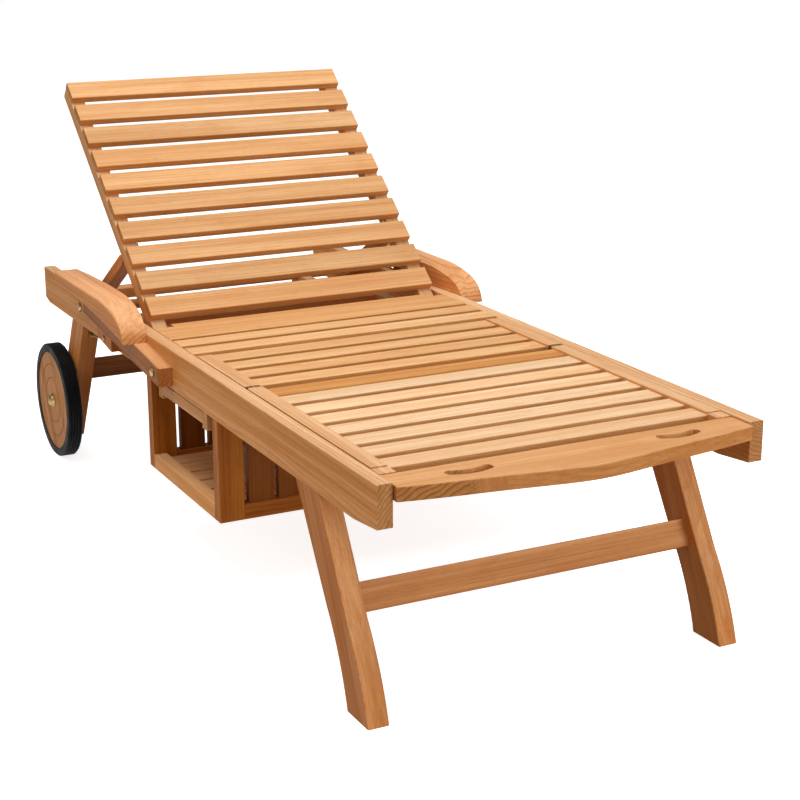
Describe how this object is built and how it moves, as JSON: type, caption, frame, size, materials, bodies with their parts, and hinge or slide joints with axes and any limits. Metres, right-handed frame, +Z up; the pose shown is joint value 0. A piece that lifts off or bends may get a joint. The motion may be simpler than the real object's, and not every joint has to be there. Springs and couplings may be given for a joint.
{
  "type": "sun lounger",
  "caption": "Wooden slatted sun lounger with reclining back on a notched rack, raising knee panel, armrests, under-seat basket, slide-out tray and rear wheels.",
  "frame": {"origin": "middle of the lounger on the ground: half way between the armrests' outer faces and half way from the foot board's front to the head ends of the rails", "axes": "+Y towards the head end, +Z up, +X to the side away from the tray"},
  "size_m": [0.8, 1.774, 0.8356],
  "materials": {
    "teak": "oiled satin",
    "brass": "satin",
    "tyre": "matte"
  },
  "bodies": {
    "frame": {"side_rail_left": "teak", "side_rail_right": "teak", "front_legs": "teak", "front_stretcher": "teak", "rear_legs": "teak", "rear_stretcher": "teak", "seat_rail": "teak", "head_rail": "teak", "seat_board": "teak", "seat_slat_1": "teak", "seat_slat_2": "teak", "ledges": "teak", "rack_rail": "teak", "armrests": "teak", "arm_bars": "teak", "arm_blocks": "teak", "racks": "teak", "basket_ends": "teak", "basket_floor": "teak", "tray_runners": "teak", "frame_bolts": "brass", "axle_bolts": "brass"},
    "backrest": {"back_stiles": "teak", "back_slat_1": "teak", "back_slat_2": "teak", "back_slat_3": "teak", "back_slat_4": "teak", "back_slat_5": "teak", "back_slat_6": "teak", "back_slat_7": "teak", "back_slat_8": "teak", "back_slat_9": "teak", "back_slat_10": "teak", "prop_plates": "brass"},
    "prop": {"prop_legs": "teak", "prop_bar": "teak"},
    "thigh_panel": {"thigh_stiles": "teak", "thigh_slat_1": "teak", "thigh_slat_2": "teak", "thigh_slat_3": "teak", "thigh_slat_4": "teak", "knee_hinges": "brass"},
    "leg_panel": {"leg_stiles": "teak", "leg_slat_1": "teak", "leg_slat_2": "teak", "leg_slat_3": "teak", "leg_slat_4": "teak", "leg_slat_5": "teak", "leg_slat_6": "teak", "leg_slat_7": "teak", "knee_rail": "teak", "foot_board": "teak", "knee_leaves": "brass"},
    "tray": {"tray": "teak"},
    "left_wheel": {"wheel_left": "teak", "tyre_left": "tyre"},
    "right_wheel": {"wheel_right": "teak", "tyre_right": "tyre"},
    "left_hook": {"hook_left": "brass"},
    "right_hook": {"hook_right": "brass"}
  },
  "joints": [
    {"name": "back_recline", "type": "hinge", "parent": "frame", "child": "backrest", "pos_m": [0, 0.239, 0.375], "axis": [1, 0, 0], "range_deg": [-39.7, 30.3]},
    {"name": "prop_swing", "type": "hinge", "parent": "backrest", "child": "prop", "pos_m": [0, 0.42809, 0.50417], "axis": [1, 0, 0], "range_deg": [-54.2, 70.9]},
    {"name": "thigh_lift", "type": "hinge", "parent": "frame", "child": "thigh_panel", "pos_m": [0, -0.0275, 0.388], "axis": [-1, 0, 0], "range_deg": [0, 30]},
    {"name": "knee_fold", "type": "hinge", "parent": "thigh_panel", "child": "leg_panel", "pos_m": [0, -0.263, 0.404], "axis": [-1, 0, 0], "range_deg": [-43.3, 0]},
    {"name": "tray_slide", "type": "slide", "parent": "frame", "child": "tray", "axis": [-1, 0, 0], "range_m": [0, 0.28]},
    {"name": "left_wheel_spin", "type": "hinge", "parent": "frame", "child": "left_wheel", "pos_m": [-0.37, 0.757, 0.1285], "axis": [1, 0, 0], "continuous": true},
    {"name": "right_wheel_spin", "type": "hinge", "parent": "frame", "child": "right_wheel", "pos_m": [0.37, 0.757, 0.1285], "axis": [1, 0, 0], "continuous": true},
    {"name": "left_hook_swing", "type": "hinge", "parent": "frame", "child": "left_hook", "pos_m": [-0.333, 0.603, 0.308], "axis": [1, 0, 0], "range_deg": [0, 75]},
    {"name": "right_hook_swing", "type": "hinge", "parent": "frame", "child": "right_hook", "pos_m": [0.333, 0.603, 0.308], "axis": [1, 0, 0], "range_deg": [0, 75]}
  ],
  "couplings": [
    {"joint": "prop_swing", "follows": "back_recline", "ratio": -1.7834},
    {"joint": "knee_fold", "follows": "thigh_lift", "ratio": -1.435}
  ]
}
